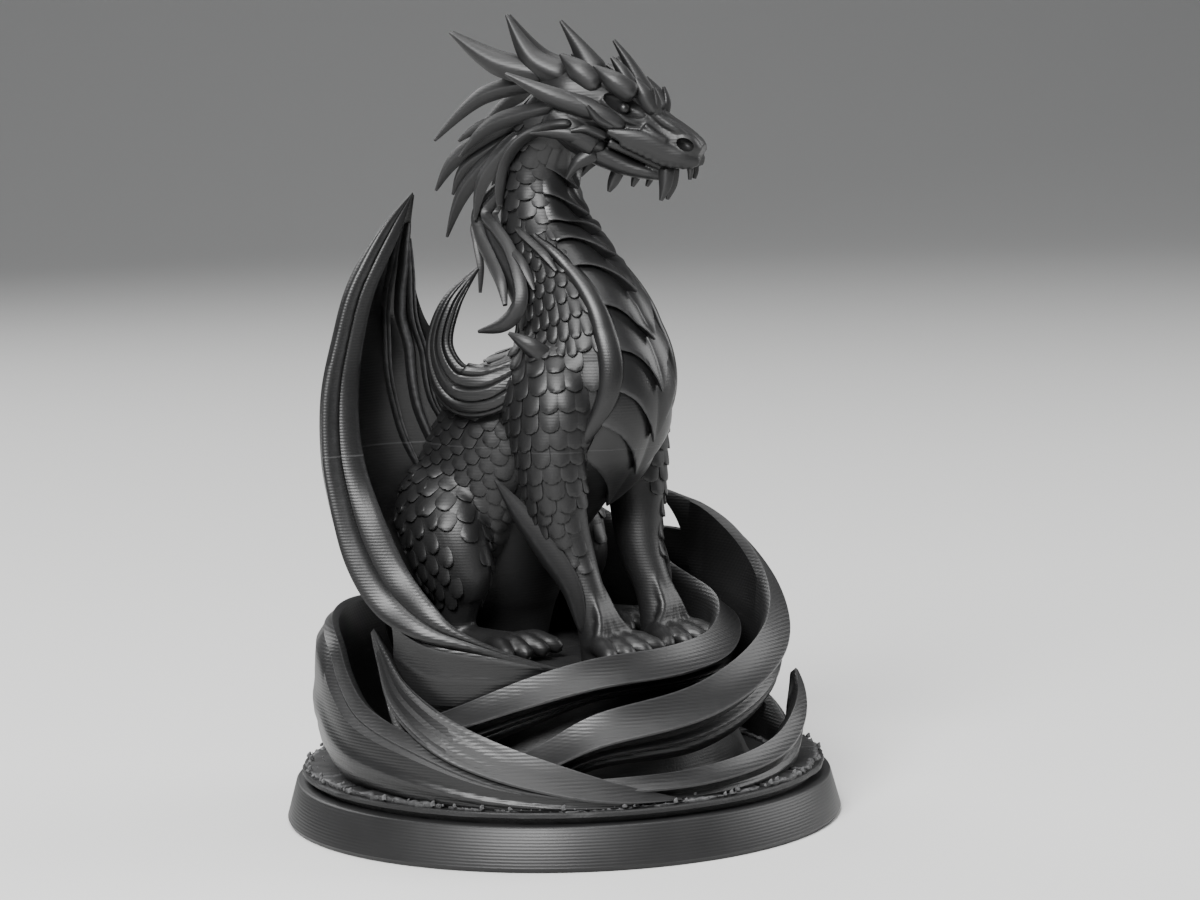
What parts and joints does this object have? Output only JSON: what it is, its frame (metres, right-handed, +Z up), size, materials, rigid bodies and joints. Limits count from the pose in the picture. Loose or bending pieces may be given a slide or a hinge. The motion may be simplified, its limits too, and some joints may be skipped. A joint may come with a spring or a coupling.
{
  "type": "dragon statuette",
  "caption": "Seated dragon statuette with raised head, spiked mane and folded wings, in a nest of swirling ribbons on a round tapered plinth with a stone floor",
  "frame": {"origin": "centre of the plinth's underside", "axes": "Z up, the dragon faces -Y, its right side is -X"},
  "size_m": [0.06, 0.06, 0.0861],
  "materials": {
    "plinth_plastic": "black printed plastic with fine horizontal layer lines, satin",
    "statue_plastic": "black printed plastic with fine horizontal layer lines, satin"
  },
  "bodies": {
    "root": {"plinth": "plinth_plastic", "dragon_statue": "statue_plastic"}
  },
  "joints": []
}
